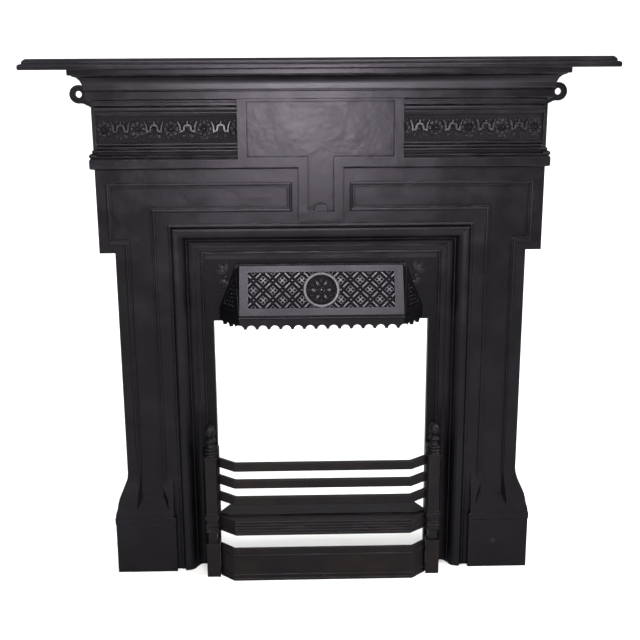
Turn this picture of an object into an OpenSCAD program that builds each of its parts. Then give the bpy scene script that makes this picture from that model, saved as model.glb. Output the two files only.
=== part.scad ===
// Victorian cast-iron combination fireplace: mantel shelf, surround with its register plate,
// hood, front grate and ash-pan cover.
//
// Axes: +X to the right of someone facing the fire, -Y towards the room, +Z up.
// Origin: on the hearth, under the middle of the mantel shelf.
// "out" is a distance in front of the jamb faces, and negative behind them.

/* [Overall] */
// Length of the mantel shelf
shelf_length = 1214; // [1160:1:1300]
// Projection of the mantel shelf from the wall
shelf_depth = 170; // [160:1:220]
// Height from the hearth to the top of the shelf
total_height = 1170; // [1150:1:1260]
// Width over the frieze and its ears
frieze_width = 965; // [950:1:1060]
// Width over the jambs below the ears
jamb_width = 897; // [885:1:925]
// Projection of the jamb faces from the wall
jamb_projection = 80; // [75:1:110]
// Thickness of the cast plates
plate = 8; // [6:0.5:10]

/* [Mantel shelf] */
// Thickness of the moulded edge
shelf_edge = 22; // [20:1:28]
// Thickness of the flat top
shelf_plate = 8; // [6:0.5:10]

/* [Cornice and frieze] */
// Projection of the cornice at its top
cornice_out = 38; // [30:1:45]
// Height of the cornice with the rail below it
cornice_height = 63; // [60:1:80]
// Projection of the rail, of the tablet frame and of the band
rail_out = 9; // [6:1:12]
// Height from the underside of the band to the underside of the rail
frieze_height = 144; // [140:1:160]
// Height of the ears below the band
ear_height = 182; // [160:1:210]
// Half width of the tablet, to the inside of its frame
tablet_half = 156.5; // [140:0.5:170]
// Half width of the tablet's stem, to the inside of its frame
stem_half = 28; // [24:0.5:36]
// Width of the frame round the tablet
tablet_frame = 20; // [16:0.5:24]
// Height of the tablet's sunk face in front of the jambs
tablet_out = 2; // [1:0.5:4]
// Depth of the ornament fields behind the jamb faces
frieze_sink = 4; // [2:0.5:6]

/* [Jamb panels] */
// Width of the plain margin outside a panel moulding
panel_margin = 21; // [18:0.5:26]
// Width of the panel moulding
bead_width = 10; // [8:0.5:12]
// Depth of the sunk panel face
panel_sink = 4; // [2:0.5:5]
// Distance from the architrave's inner edge to the panel face
panel_gap = 107; // [104:0.5:112]
// Distance from the middle of the fireplace to the end of the frieze arm
arm_end = 72; // [66:0.5:90]

/* [Architrave and register plate] */
// Half width between the architrave's inner edges
arch_half = 261.5; // [250:0.5:270]
// Height of the architrave's inner edge above the hearth
arch_height = 750; // [735:1:760]
// Depth of the register plate's face behind the jamb faces
register_sink = 32; // [30:0.5:40]
// Half width of the fire opening
fire_half = 243; // [238:0.5:246]
// Height of the fire opening
fire_height = 597; // [590:1:610]

/* [Plinths] */
// Width over the plinths
plinth_span = 960; // [945:1:1000]
// Half width between the plinths
plinth_inner = 342; // [337:1:350]
// Projection of the plinths in front of the jambs
plinth_out = 13; // [8:1:20]
// Height of the plain block
plinth_height = 137; // [120:1:150]
// Height of the swept shoulder above the block
shoulder_height = 108; // [90:1:120]

/* [Fixing lugs] */
// Diameter of the fixing hole
lug_hole = 14; // [10:0.5:16]
// Outer radius of a lug
lug_radius = 20; // [17:0.5:24]
// Distance from the side of the frieze to the hole
lug_reach = 38.5; // [34:0.5:45]
// Height of the holes above the hearth
lug_height = 1095; // [1085:1:1100]

/* [Hood] */
// Half width of the hood's sloping front
hood_half = 181; // [170:1:186]
// Half width of the hood where its lower rim meets the register plate
hood_rim_half = 228; // [222:1:232]
// Height of the hood's top edge
hood_top = 724; // [715:1:730]
// Height where the slope meets the upright rim
hood_break = 624; // [616:1:632]
// Projection of the rim in front of the jambs
hood_out = 33; // [25:1:40]
// Height of the scalloped rim
rim_height = 32; // [26:1:34]
// Scallops across the front of the rim
scallops = 14; // [10:1:16]
// Depth of the lattice panel in the hood
lattice_sink = 4; // [2:0.5:4]

/* [Front grate] */
// Half width between the middles of the posts
post_half = 254; // [250:0.5:256]
// Width of a post shaft
post_width = 25; // [22:0.5:28]
// Projection of the posts in front of the jambs
post_out = 40; // [34:1:44]
// Height of the posts with their finials
post_height = 370; // [350:1:400]
// Projection of the bars in front of the jambs
bar_out = 63; // [56:1:68]
// Half width of the straight run of the bars
bar_half = 200; // [190:1:208]
// Height of a bar
bar_height = 20; // [16:1:24]
// Thickness of a bar
bar_thick = 11; // [8:0.5:14]
// Height of the lowest bar's top edge above the hearth
bar_first = 208; // [200:1:212]
// Distance from bar to bar
bar_pitch = 41; // [38:1:44]
// Height of the reeded rail's lower edge
rail_base = 113; // [110:1:120]
// Height of the reeded rail
rail_height = 36; // [32:1:40]

/* [Ash-pan cover] */
// Height of the cover
cover_height = 82; // [74:1:86]
// Thickness of the cover
cover_thick = 7; // [5:0.5:9]

/* [Fits] */
// Gap between castings that stand side by side
seat_gap = 0.2; // [0.1:0.1:0.3]

/* [Hidden] */
iron = [0.11, 0.11, 0.12];

wall_y = shelf_depth / 2;
face_y = wall_y - jamb_projection;
frieze_half = frieze_width / 2;
jamb_half = jamb_width / 2;
plinth_half = plinth_span / 2;

// Heights worked down from the underside of the shelf
shelf_base = total_height - shelf_edge;
rail_bottom = shelf_base - cornice_height;
band_bottom = rail_bottom - frieze_height;
ear_bottom = band_bottom - ear_height;

// The band and the reeds over it, measured up from the band's underside
band_top = band_bottom + 22;
reed_pitch = 7;
ornament_bottom = band_top + 12 + 3 * reed_pitch;
ornament_top = rail_bottom - 33;
recess_top = rail_bottom - 4;

// The panels of the jambs
panel_top = band_bottom - 30 - bead_width;
panel_side = frieze_half - panel_margin - bead_width;
panel_jamb = jamb_half - panel_margin - bead_width;
panel_ear = ear_bottom + panel_margin - 3 + bead_width;
panel_inner = arch_half + panel_gap;
panel_arm = arch_height + panel_gap;
sill_top = plinth_height + 44;
sill_bottom = plinth_height + 14;

// The tablet's stem stands just clear of the architrave
stem_frame_bottom = arch_height + 78;
post_outer = tablet_half + tablet_frame;

register_y = face_y + register_sink;
// The hood's slope, and the thin arris that overhangs the rim
slope_rise = hood_top - hood_break;
slope_run = hood_out + register_sink - 12;
rim_step = 1.5;
arris = 3;
// Reeds along the front of the bottom rail of the grate
rail_reeds = 5;
// Mouldings are drawn this far past the wall and the hearth, and cut off flat there
overrun = 2;
// Largest turn between two facets of a curved moulding, in degrees
arc_step = 24;

// ---- Geometry helpers ----

function unit(v) = v / norm(v);
// Normal on the right of someone walking from a to b
function right_of(a, b) = let (d = unit(b - a)) [d.y, -d.x];
function mitre(m, n) = (m + n) / (1 + m * n);
// Direction in which corner i of a path moves when the path is offset to its right
function corner_shift(path, i, closed) =
    let (
        count = len(path),
        before = path[(i + count - 1) % count],
        after = path[(i + 1) % count]
    )
    closed || (i > 0 && i < count - 1)
        ? mitre(right_of(before, path[i]), right_of(path[i], after))
        : i == 0 ? right_of(path[0], path[1]) : right_of(path[count - 2], path[count - 1]);

// Points on an arc, for the curved stretches of the moulding sections
function arc(centre, radii, from, to) =
    let (steps = ceil(abs(to - from) / arc_step))
    [for (k = [0 : steps]) let (a = from + (to - from) * k / steps)
        centre + [radii.x * cos(a), radii.y * sin(a)]];

function reversed(p) = [for (i = [len(p) - 1 : -1 : 0]) p[i]];
function twice_area(p) =
    let (n = len(p), terms = [for (i = [0 : n - 1]) let (j = (i + 1) % n) p[i].x * p[j].y - p[j].x * p[i].y])
    terms * [for (t = terms) 1];
function anticlockwise(p) = twice_area(p) > 0 ? p : reversed(p);

// A moulding: a section of [offset to the right, height], mitred round a path
module mitred_run(path, section, closed = false) {
    ring = anticlockwise(section);
    stations = len(path);
    size = len(ring);
    points = [
        for (i = [0 : stations - 1])
            for (s = ring)
                let (at = path[i] + s[0] * corner_shift(path, i, closed)) [at.x, at.y, s[1]]
    ];
    sides = [
        for (i = [0 : stations - (closed ? 1 : 2)])
            for (j = [0 : size - 1])
                let (k = (j + 1) % size, next = (i + 1) % stations)
                    [i * size + j, i * size + k, next * size + k, next * size + j]
    ];
    caps = closed ? [] : [
        [for (j = [size - 1 : -1 : 0]) j],
        [for (j = [0 : size - 1]) (stations - 1) * size + j]
    ];
    polyhedron(points = points, faces = concat(sides, caps), convexity = 6);
}

// A solid through rings of points that lie one above the other, each ring anticlockwise from above
module stacked_rings(rings) {
    count = len(rings[0]);
    levels = len(rings);
    points = [for (r = rings) each r];
    sides = [
        for (i = [0 : levels - 2])
            for (j = [0 : count - 1])
                let (
                    k = (j + 1) % count,
                    a = i * count + j,
                    b = (i + 1) * count + j,
                    c = (i + 1) * count + k,
                    d = i * count + k,
                    off = cross(points[b] - points[a], points[c] - points[a]) * (points[d] - points[a])
                )
                    each (abs(off) < 0.001 ? [[a, b, c, d]] : [[a, b, c], [a, c, d]])
    ];
    bottom = [for (j = [0 : count - 1]) j];
    top = [for (j = [count - 1 : -1 : 0]) (levels - 1) * count + j];
    polyhedron(points = points, faces = concat(sides, [bottom, top]), convexity = 6);
}

// Round the two ends and the front of a box that stands against the wall
function round_front(half, out) =
    let (end = wall_y + overrun)
    [[-half, end], [-half, face_y - out], [half, face_y - out], [half, end]];

// Up one side of the fire, across its head and down the other
function round_fire(half, top) =
    [[half, -overrun], [half, top], [-half, top], [-half, -overrun]];

// Children drawn in the X-Z plane, raised from out = a to out = b
module on_face(a, b) {
    translate([0, face_y - a, 0])
        rotate([90, 0, 0])
            linear_extrude(b - a)
                children();
}

// A moulding drawn on the X-Z plane
module run_on_face(path, section, closed = false) {
    translate([0, face_y, 0])
        rotate([90, 0, 0])
            mitred_run(path, section, closed);
}

// Children drawn as [out, height], run along the left half from x = -a to x = -b
module section_run(a, b) {
    translate([-a, face_y, 0])
        rotate([90, 0, -90])
            linear_extrude(b - a)
                children();
}

module both_sides() {
    children();
    mirror([1, 0, 0])
        children();
}

// A box from its lowest corner to its highest
module block(low, high) {
    translate(low)
        cube(high - low);
}

// Cuts children off flat where they meet the wall and the hearth
module cut_at_wall() {
    reach = shelf_length;
    difference() {
        children();
        block([-reach, wall_y, -reach], [reach, wall_y + 10, 2 * reach]);
    }
}

module cut_at_hearth() {
    reach = shelf_length;
    difference() {
        children();
        block([-reach, -reach, -10], [reach, reach, 0]);
    }
}

// ---- Mantel shelf ----

// Section of the shelf's moulded edge, as [offset from the nose, height over the underside]
function shelf_section() =
    let (top = shelf_edge, nose = 12)
    concat(
        [[-12, 0], [-3, 0]],
        arc([-3, 3], [3, 3], -60, 0),
        [[0, nose - 5]],
        arc([-6, nose - 5], [6, 5], 25, 90),
        [[-7.5, nose], [-7.5, nose + 1.5]],
        arc([-7.5 - (top - nose - 3), nose + 1.5], [top - nose - 3, top - nose - 3], 8, 60),
        [[-14, top], [-26, top], [-26, top - shelf_plate], [-13, top - shelf_plate]]
    );

module mantel_shelf() {
    nose = round_front(shelf_length / 2, shelf_depth - jamb_projection);
    rib_depth = shelf_edge - 1;
    color(iron)
    translate([0, 0, shelf_base])
    union() {
        cut_at_wall()
            mitred_run(nose, shelf_section());
        block([-shelf_length / 2 + 20, -wall_y + 20, shelf_edge - shelf_plate],
              [shelf_length / 2 - 20, wall_y, shelf_edge]);
        // Rim along the wall and the ribs that stiffen the top from below
        block([-shelf_length / 2 + 8, wall_y - plate, 0], [shelf_length / 2 - 8, wall_y, shelf_edge]);
        for (x = [-shelf_length / 4, 0, shelf_length / 4])
            block([x - 3, -wall_y + 16, shelf_edge - rib_depth], [x + 3, wall_y - 2, shelf_edge - 2]);
    }
}

// ---- Surround casting ----

// Cornice and the rail below it, as [offset from the frieze, height over the rail's underside]
function cornice_section() =
    let (top = cornice_height, out = cornice_out, low = rail_out, cave = out - low - 10)
    concat(
        [[-plate, -4], [low - 2, 0], [low, 2], [low, top - 46], [low - 1.5, top - 45], [low - 1.5, top - 43]],
        [[low + 2, top - 42]],
        // Cavetto, hollow towards the room and upright at its foot
        arc([low + 3 + cave, top - 40], [cave, 26], 180, 95),
        [[out - 7, top - 13], [out - 7, top - 12]],
        // Fascia under the shelf, with a rounded lower arris
        arc([out - 2.5, top - 9.5], [2.5, 2.5], -85, 0),
        [[out, top], [out - 14, top], [low + 4 + cave * 0.3, top - 12], [low, top - 28],
         [low - plate, top - 44], [-plate, top - 48]]
    );

// Band and astragal under the frieze, with the lowest of the reeds
function band_section() =
    let (out = rail_out, bead = band_top + 6)
    concat(
        [[-6, band_bottom - 1]],
        arc([0, band_bottom + 3], [out, 4], -90, -5),
        [[out, band_top - 3], [out - 2, band_top]],
        arc([out - 5, bead], [4.5, 5], -70, 75),
        arc([0, bead + 9], [3, 3], -60, 85),
        [[-6, bead + 12]]
    );

// Mouldings inside the recess of a frieze panel, as [out, height]
function reed_points(out, low) = arc([out - 2, low + reed_pitch / 2], [3, reed_pitch / 2 - 0.6], -80, 80);

function lower_reeds() =
    concat(
        [[-frieze_sink - 3, band_top + 4]],
        [[-1, band_top + 4]],
        reed_points(1.5, ornament_bottom - 3 * reed_pitch),
        reed_points(0, ornament_bottom - 2 * reed_pitch),
        reed_points(-1.5, ornament_bottom - reed_pitch),
        [[-frieze_sink - 3, ornament_bottom]]
    );

function upper_mouldings() =
    let (low = ornament_top, top = recess_top)
    concat(
        [[-frieze_sink - 3, low], [-2, low], [-1.5, low + 2.5], [0.5, low + 5.5], [0.5, low + 7.5]],
        arc([0, low + 14], [5, 5.5], -75, 75),
        [[2.5, low + 20.5], [4.5, low + 21.5], [4.5, top - 2], [6, top], [6, top + 3],
         [-frieze_sink - 3, top + 3]]
    );

// Architrave round the fire, as [distance from its inner edge, out]
function architrave_section() =
    concat(
        [[0, -register_sink - 1], [0, 1.5 - register_sink + 4], [0.8, 6.5 - register_sink]],
        [[3.2, 6.5 - register_sink], [4, 5 - register_sink], [5.5, 5 - register_sink]],
        [[6.5, 6.5 - register_sink], [15.5, 9 - register_sink], [16, 10.5 - register_sink]],
        [[18.5, 10.5 - register_sink], [19, 8.5 - register_sink]],
        // Cove between the fillet and the quirk of the roll
        arc([19, -10], [14, register_sink - 18.5], -80, -5),
        [[33.5, -11], [35, -11]],
        // Bolection roll, steep on the outside and long on the inside
        arc([57, -9], [21, 18], 170, 95),
        arc([57.5, 3.5], [5.5, 5.5], 85, 5),
        [[63, -1.5], [64.5, -1.5], [65, 1.5], [67, 2], [71, 0.6], [72, -1], [74, -1], [74.5, 0], [84, 0]],
        [[84, -plate], [64, -plate - 1], [57, -1], [47, -7], [41, -19], [31, 2 - register_sink]],
        [[20, -register_sink - 3]],
        [[12, -register_sink - plate + 0.5], [6, -register_sink - plate + 0.5], [6, -register_sink - 1]]
    );

// Outline of a jamb panel with its arm across the frieze, moved outwards by "grow"
function panel_outline(grow, foot) = [
    [panel_inner - grow, foot],
    [panel_jamb + grow, foot],
    [panel_jamb + grow, panel_ear - grow],
    [panel_side + grow, panel_ear - grow],
    [panel_side + grow, panel_top + grow],
    [arm_end - grow, panel_top + grow],
    [arm_end - grow, panel_arm - grow],
    [panel_inner - grow, panel_arm - grow]
];

// Bead and small hollow round a panel, as [distance outside the panel's face, out]
function panel_bead() =
    concat(
        [[-0.6, -panel_sink - 2], [-0.6, -panel_sink], [0.4, -panel_sink + 0.3], [2.2, -1.2], [2.6, 0]],
        reversed(arc([(bead_width + 2.6) / 2, 0], [(bead_width - 3.4) / 2, 2.6], 0, 180)),
        [[bead_width - 0.2, 0], [bead_width, -1], [bead_width, -panel_sink - 2]]
    );

module face_outline() {
    polygon([
        [-frieze_half, shelf_base - 20], [-frieze_half, ear_bottom],
        [-jamb_half, ear_bottom], [-jamb_half, 0],
        [-arch_half - 72, 0], [-arch_half - 72, arch_height + 72],
        [arch_half + 72, arch_height + 72], [arch_half + 72, 0],
        [jamb_half, 0], [jamb_half, ear_bottom], [frieze_half, ear_bottom], [frieze_half, shelf_base - 20]
    ]);
}

module tablet_outline(frame) {
    half = tablet_half + frame;
    stem = stem_half + frame;
    polygon([
        [-half, rail_bottom + (frame > 0 ? 1 : -4)], [-half, band_top + 2 - frame],
        [-stem, band_top + 2 - frame], [-stem, stem_frame_bottom + tablet_frame - frame],
        [stem, stem_frame_bottom + tablet_frame - frame], [stem, band_top + 2 - frame],
        [half, band_top + 2 - frame], [half, rail_bottom + (frame > 0 ? 1 : -4)]
    ]);
}

// The sunk face of a panel meets a splayed sill over the plinth
module sill_cut() {
    low = sill_bottom;
    high = sill_top;
    back = face_y + panel_sink;
    front = face_y - plinth_out;
    splay = 14;
    stacked_rings([
        [[panel_inner - splay, front - 0.5, low], [panel_jamb + splay, front - 0.5, low],
         [panel_jamb + splay, front, low], [panel_inner - splay, front, low]],
        [[panel_inner - splay, front - 0.5, high], [panel_jamb + splay, front - 0.5, high],
         [panel_jamb, back, high], [panel_inner, back, high]],
        [[panel_inner - 0.6, front - 0.5, high + 60], [panel_jamb + 0.6, front - 0.5, high + 60],
         [panel_jamb, back, high + 60], [panel_inner, back, high + 60]]
    ]);
}

// Share of the plinth's projection that the shoulder has at a share "t" of its height
function shoulder_share(t) =
    t < 0.25 ? 1 - 0.35 * pow(t / 0.25, 2) * 0.6
             : 0.79 * (1 + cos(180 * (t - 0.25) / 0.75)) / 2;

module shoulder() {
    side = plinth_half - jamb_half;
    steps = 9;
    rings = [
        for (k = [0 : steps])
            let (
                t = k / steps,
                s = shoulder_share(t),
                z = plinth_height - 1 + (shoulder_height + 1) * t,
                x = jamb_half + side * s,
                y = face_y - plinth_out * s
            )
            [[plinth_inner + 3, y, z], [x, y, z], [x, wall_y, z], [plinth_inner + 3, wall_y, z]]
    ];
    stacked_rings(rings);
}

module plinth() {
    low = face_y - plinth_out;
    block([plinth_inner, low, 0], [plinth_half, wall_y, plinth_height - 17]);
    block([plinth_inner - 1, low - 1.2, plinth_height - 15], [plinth_half + 1, wall_y, plinth_height]);
    block([plinth_inner + 1, low + 1, plinth_height - 18], [plinth_half - 1, wall_y, plinth_height - 14]);
}

// Room inside the plinth and its shoulder, open at the back and underneath
module plinth_hollow() {
    back = wall_y + 1;
    block([plinth_inner + plate, face_y - plinth_out + plate, -1],
          [plinth_half - plate, back, plinth_height - plate]);
    block([plinth_inner + plate, face_y + plate, plinth_height - plate - 1],
          [jamb_half - plate, back, plinth_height + shoulder_height + 1]);
}

module lug_plate() {
    x = frieze_half + lug_reach;
    web_reach = lug_reach + 6;
    web_drop = 37;
    web_top = lug_height - lug_radius + 2;
    translate([0, wall_y, 0])
    rotate([90, 0, 0])
    linear_extrude(plate)
    union() {
        translate([x, lug_height])
            circle(r = lug_radius, $fn = 72);
        // Web that sweeps from the lug down to the side of the frieze
        polygon(concat(
            [[frieze_half - 2, lug_height + lug_radius - 1], [x, lug_height + lug_radius - 1]],
            arc([frieze_half + web_reach, web_top - web_drop], [web_reach, web_drop], 90, 172),
            [[frieze_half - 2, web_top - web_drop - 2]]
        ));
    }
}

module surround_plates() {
    on_face(-plate, 0)
        face_outline();
    // Thicker backs behind the sunk panels and the ornament fields
    both_sides() {
        on_face(-panel_sink - plate + 1, -1)
            polygon(panel_outline(4, sill_bottom - 20));
        on_face(-frieze_sink - plate, -1)
            translate([post_outer - 4, band_bottom + 4])
                square([frieze_half - post_outer + 2, rail_bottom - band_bottom]);
        // Returns to the wall at the sides of the frieze, under the ears and down the jambs
        block([frieze_half - plate, face_y, ear_bottom], [frieze_half, wall_y, shelf_base - 20]);
        block([jamb_half - plate, face_y, ear_bottom], [frieze_half, wall_y, ear_bottom + plate]);
        block([jamb_half - plate, face_y, 0], [jamb_half, wall_y, ear_bottom + plate]);
    }
}

module register_plate() {
    y = register_y;
    difference() {
        translate([0, y + plate, 0])
            rotate([90, 0, 0])
                linear_extrude(plate)
                    translate([-arch_half - 8, 0])
                        square([2 * arch_half + 16, arch_height + 8]);
        // The fire opening, and the throat behind the hood
        block([-fire_half, y - 1, -1], [fire_half, y + plate + 1, fire_height]);
        block([-hood_half + 6, y - 1, fire_height - 1], [hood_half - 6, y + plate + 1, hood_top - 40]);
    }
    // Narrow flange that stiffens the edge of the fire opening
    both_sides()
        block([fire_half, y + 1, 0], [fire_half + 7, y + 28, fire_height + 7]);
    block([-fire_half - 7, y + 1, fire_height], [-hood_half + 6, y + 28, fire_height + 7]);
    block([hood_half - 6, y + 1, fire_height], [fire_half + 7, y + 28, fire_height + 7]);
}

// Worn tab that stands up in the foot of the tablet's stem
module stem_tab() {
    low = stem_frame_bottom + tablet_frame - 2;
    on_face(-1, rail_out - 1.5)
        union() {
            translate([-13.5, low])
                square([27, 14]);
            for (x = [-8, 0, 8])
                translate([x, low + 12.5 + (x == 0 ? 2 : 0)])
                    circle(r = 4.5, $fn = 24);
        }
}

// Everything that stands up from the face before the panels are sunk
module surround_body() {
    union() {
        surround_plates();
        cut_at_wall()
            translate([0, 0, rail_bottom])
                mitred_run(round_front(frieze_half, 0), cornice_section());
        cut_at_wall()
            mitred_run(round_front(frieze_half, 0), band_section());
        on_face(-1, rail_out)
            tablet_outline(tablet_frame);
        both_sides() {
            difference() {
                union() {
                    plinth();
                    shoulder();
                }
                plinth_hollow();
            }
            lug_plate();
        }
    }
}

module surround_casting() {
    recess_side = frieze_half - 7.5;
    color(iron)
    difference() {
        union() {
            difference() {
                surround_body();
                // Sunk face of the tablet and its stem
                on_face(tablet_out, rail_out + 12)
                    tablet_outline(0);
                both_sides() {
                    // Recess of a frieze panel
                    on_face(-frieze_sink, rail_out + 12)
                        translate([post_outer, band_top + 5])
                            square([recess_side - post_outer, recess_top - band_top - 5]);
                    // Sunk face of a jamb panel
                    on_face(-panel_sink, plinth_out + 10)
                        polygon(panel_outline(0, sill_top));
                }
            }
            both_sides() {
                section_run(post_outer - 1, recess_side + 1)
                    polygon(lower_reeds());
                section_run(post_outer - 1, recess_side + 1)
                    polygon(upper_mouldings());
                run_on_face(panel_outline(0, sill_top), panel_bead(), true);
            }
            cut_at_hearth()
                run_on_face(round_fire(arch_half, arch_height), architrave_section());
            register_plate();
            stem_tab();
        }
        both_sides() {
            sill_cut();
            translate([frieze_half + lug_reach, wall_y + 1, lug_height])
                rotate([90, 0, 0])
                    cylinder(d = lug_hole, h = plate + 2, $fn = 48);
        }
    }
}

// ---- Hood ----

// Plan of the hood at one height: the front "half" wide, then canted back to the register plate
function hood_ring(half, rim, out, z, back) = [
    [-rim, back, z], [-half, face_y - out, z], [half, face_y - out, z], [rim, back, z]
];

module hood_body(inset) {
    back = register_y + (inset > 0 ? 1 : -seat_gap);
    top_out = 12 - register_sink;
    drop = inset > 0 ? 1 : 0;
    half = hood_half - inset / 2;
    rim = hood_rim_half - inset * 1.35;
    out = hood_out - inset;
    stacked_rings([
        hood_ring(half, rim, out - rim_step, hood_break - rim_height - drop, back),
        hood_ring(half, rim, out - rim_step, hood_break - arris - 0.5, back),
        hood_ring(half, rim, out, hood_break - arris, back),
        hood_ring(half, rim, out, hood_break, back),
        hood_ring(half, hood_half + 8 - inset * 1.35, top_out - inset, hood_top - inset * 0.4, back)
    ]);
}

// Carries children from the X-Y plane to the sloping front, X along it and Y up the slope
module on_slope() {
    translate([0, face_y - hood_out, hood_break])
        rotate([90 - atan2(slope_run, slope_rise), 0, 0])
            children();
}

// The gap between two scallops of the rim, cut from front to back
module scallop_gap(pitch) {
    gap = pitch * 0.39;
    rotate([-90, 0, 0])
        translate([0, gap * 0.12, 0])
            cylinder(r = gap, h = 30, $fn = 32);
}

module hood() {
    slope = norm([slope_rise, slope_run]);
    low_margin = 16;
    side_margin = 19;
    thick = 6;
    pitch = 2 * hood_half / scallops;
    cant_run = hood_out + register_sink;
    cant = norm([hood_rim_half - hood_half, cant_run]);
    cant_angle = atan2(cant_run, hood_rim_half - hood_half);
    cant_pitch = cant / 3.2;
    low = hood_break - rim_height;
    rib_z = hood_break - 7;
    front_y = face_y - hood_out + rim_step;
    color(iron)
    difference() {
        union() {
            hood_body(0);
            // Bead along the rim, and the flat fillet that meets the register plate at the top
            mitred_run(
                [[-hood_rim_half, register_y - seat_gap - 1], [-hood_half, front_y],
                 [hood_half, front_y], [hood_rim_half, register_y - seat_gap - 1]],
                concat([[-2, rib_z - 3.5]], arc([0, rib_z], [2, 2.4], -70, 70), [[-2, rib_z + 3.5]])
            );
            block([-hood_half - 8, register_y - 7, hood_top - 6],
                  [hood_half + 8, register_y - seat_gap, hood_top + 3]);
        }
        hood_body(thick);
        // Lattice panel
        on_slope()
            translate([side_margin - hood_half, low_margin, -lattice_sink])
                cube([2 * (hood_half - side_margin), slope - low_margin - 14.5, 20]);
        // Scallops along the rim
        for (k = [0 : scallops])
            translate([-hood_half + k * pitch, front_y - 4, low])
                scallop_gap(pitch);
        both_sides()
            for (k = [1 : 3])
                translate([hood_half, front_y, low])
                    rotate([0, 0, cant_angle])
                        translate([k * cant_pitch, -6, 0])
                            scallop_gap(cant_pitch);
    }
}

// ---- Front grate ----

// Plan of the bars: a straight front, canted back to the posts
function bar_path() =
    let (
        end_x = post_half - post_width / 2 + 2,
        end_y = face_y - post_out + post_width / 2
    )
    [[-end_x, end_y], [-bar_half, face_y - bar_out], [bar_half, face_y - bar_out], [end_x, end_y]];

function bar_section(low) =
    let (r = 1.6, t = bar_thick, h = bar_height)
    concat(
        arc([-r, low + r], [r, r], -90, 0),
        arc([-r, low + h - r], [r, r], 0, 90),
        arc([-t + r, low + h - r], [r, r], 90, 180),
        arc([-t + r, low + r], [r, r], 180, 270)
    );

// Reeded front of the bottom rail
function rail_section() =
    let (low = rail_base + 1, reed = (rail_height - 1) / rail_reeds, top = rail_base + rail_height)
    concat(
        [[-9, low - 1], [-2, low - 1]],
        [for (k = [0 : rail_reeds - 1])
            each arc([-1.5, low + reed * (k + 0.5)], [2, reed / 2 - 0.4], -85, 85)],
        [[-2, top], [-9, top]]
    );

// Ledge behind the rail
module grate_ledge() {
    front = face_y - bar_out + 5;
    step_y = face_y - bar_out + 32;
    back = face_y + 24;
    end_x = post_half - post_width / 2 + 1;
    end_y = face_y - post_out + post_width / 2;
    top = rail_base + rail_height - 1;
    translate([0, 0, top - 6])
        linear_extrude(6)
            polygon([[-end_x, end_y + 5], [-bar_half, front], [bar_half, front], [end_x, end_y + 5],
                     [end_x, end_y + 9], [-end_x, end_y + 9]]);
    // Plate that carries the fire, a little over the ledge
    translate([0, 0, top - 4])
        linear_extrude(8)
            polygon([[-end_x + 3, end_y + 8], [-bar_half - 14, step_y], [bar_half + 14, step_y],
                     [end_x - 3, end_y + 8], [bar_half + 18, back], [-bar_half - 18, back]]);
}

module square_ring(x, y, width, low, high) {
    translate([x - width / 2, y - width / 2, low])
        cube([width, width, high - low]);
}

module post() {
    x = -post_half;
    y = face_y - post_out + post_width / 2;
    w = post_width;
    shoulder_z = post_height - 76;
    rail_top = rail_base + rail_height;
    ear_reach = 6.5;
    ear_top = shoulder_z + 24;
    foot_outer = arch_half - 0.5;
    // Base block, the narrow neck over it, and the shaft
    square_ring(x, y, w + 5, 0, cover_height + 2);
    square_ring(x, y, w - 5, cover_height + 1, rail_base - 2);
    square_ring(x, y, w, rail_base - 3, shoulder_z);
    // Square rings where the reeded rail ends
    for (k = [0 : 2])
        square_ring(x, y, w + 3.5, rail_base - 2 + k * 8, rail_base + 3.5 + k * 8);
    square_ring(x, y, w + 6, rail_top - 6, rail_top + 3);
    square_ring(x, y, w + 2.5, rail_top + 2, rail_top + 9);
    // Stacked rings and the domed finial
    square_ring(x, y, w + 3, shoulder_z - 5, shoulder_z + 2);
    translate([x, y, shoulder_z])
        rotate_extrude($fn = 48)
            polygon(concat(
                [[0, 0], [w / 2 + 2, 0]],
                arc([w / 2, 4.5], [4, 3.2], -80, 80),
                arc([w / 2, 12], [4, 3.2], -80, 80),
                arc([w / 2 - 0.5, 19.5], [4, 3.2], -80, 80),
                [[w / 2 - 1.5, 24], [w / 2 - 4, 27], [w / 2 - 4.5, 33]],
                arc([w / 2 - 3.5, 38], [4, 4], -70, 70),
                [[w / 2 - 3.5, 43.5]],
                arc([0, 60], [w / 2 - 0.5, 16], -60, 90)
            ));
    // Web and foot that tie the post back to the register plate
    block([x - 4, y, 0], [x + 4, register_y - seat_gap, shoulder_z + 8]);
    foot_back = register_y - seat_gap;
    for (z = [[0, cover_height], [shoulder_z - 40, shoulder_z + 8]])
        block([-foot_outer, foot_back - 6, z[0]], [x + w / 2, foot_back, z[1]]);
    // Ear beside the shaft that takes the ends of the bars and of the rail
    translate([0, y + w / 2 - 1, 0])
        rotate([90, 0, 0])
            linear_extrude(w / 2 + 3)
                polygon([[x, rail_base - 1.5], [x + w / 2 + ear_reach, rail_base - 1.5],
                         [x + w / 2 + ear_reach, ear_top - 4],
                         [x + w / 2 + ear_reach - 3, ear_top], [x, ear_top]]);
}

module front_grate() {
    color(iron)
    union() {
        both_sides()
            post();
        for (k = [0 : 2])
            mitred_run(bar_path(), bar_section(bar_first - bar_height + k * bar_pitch));
        mitred_run(bar_path(), rail_section());
        grate_ledge();
    }
}

// ---- Ash-pan cover ----

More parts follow.
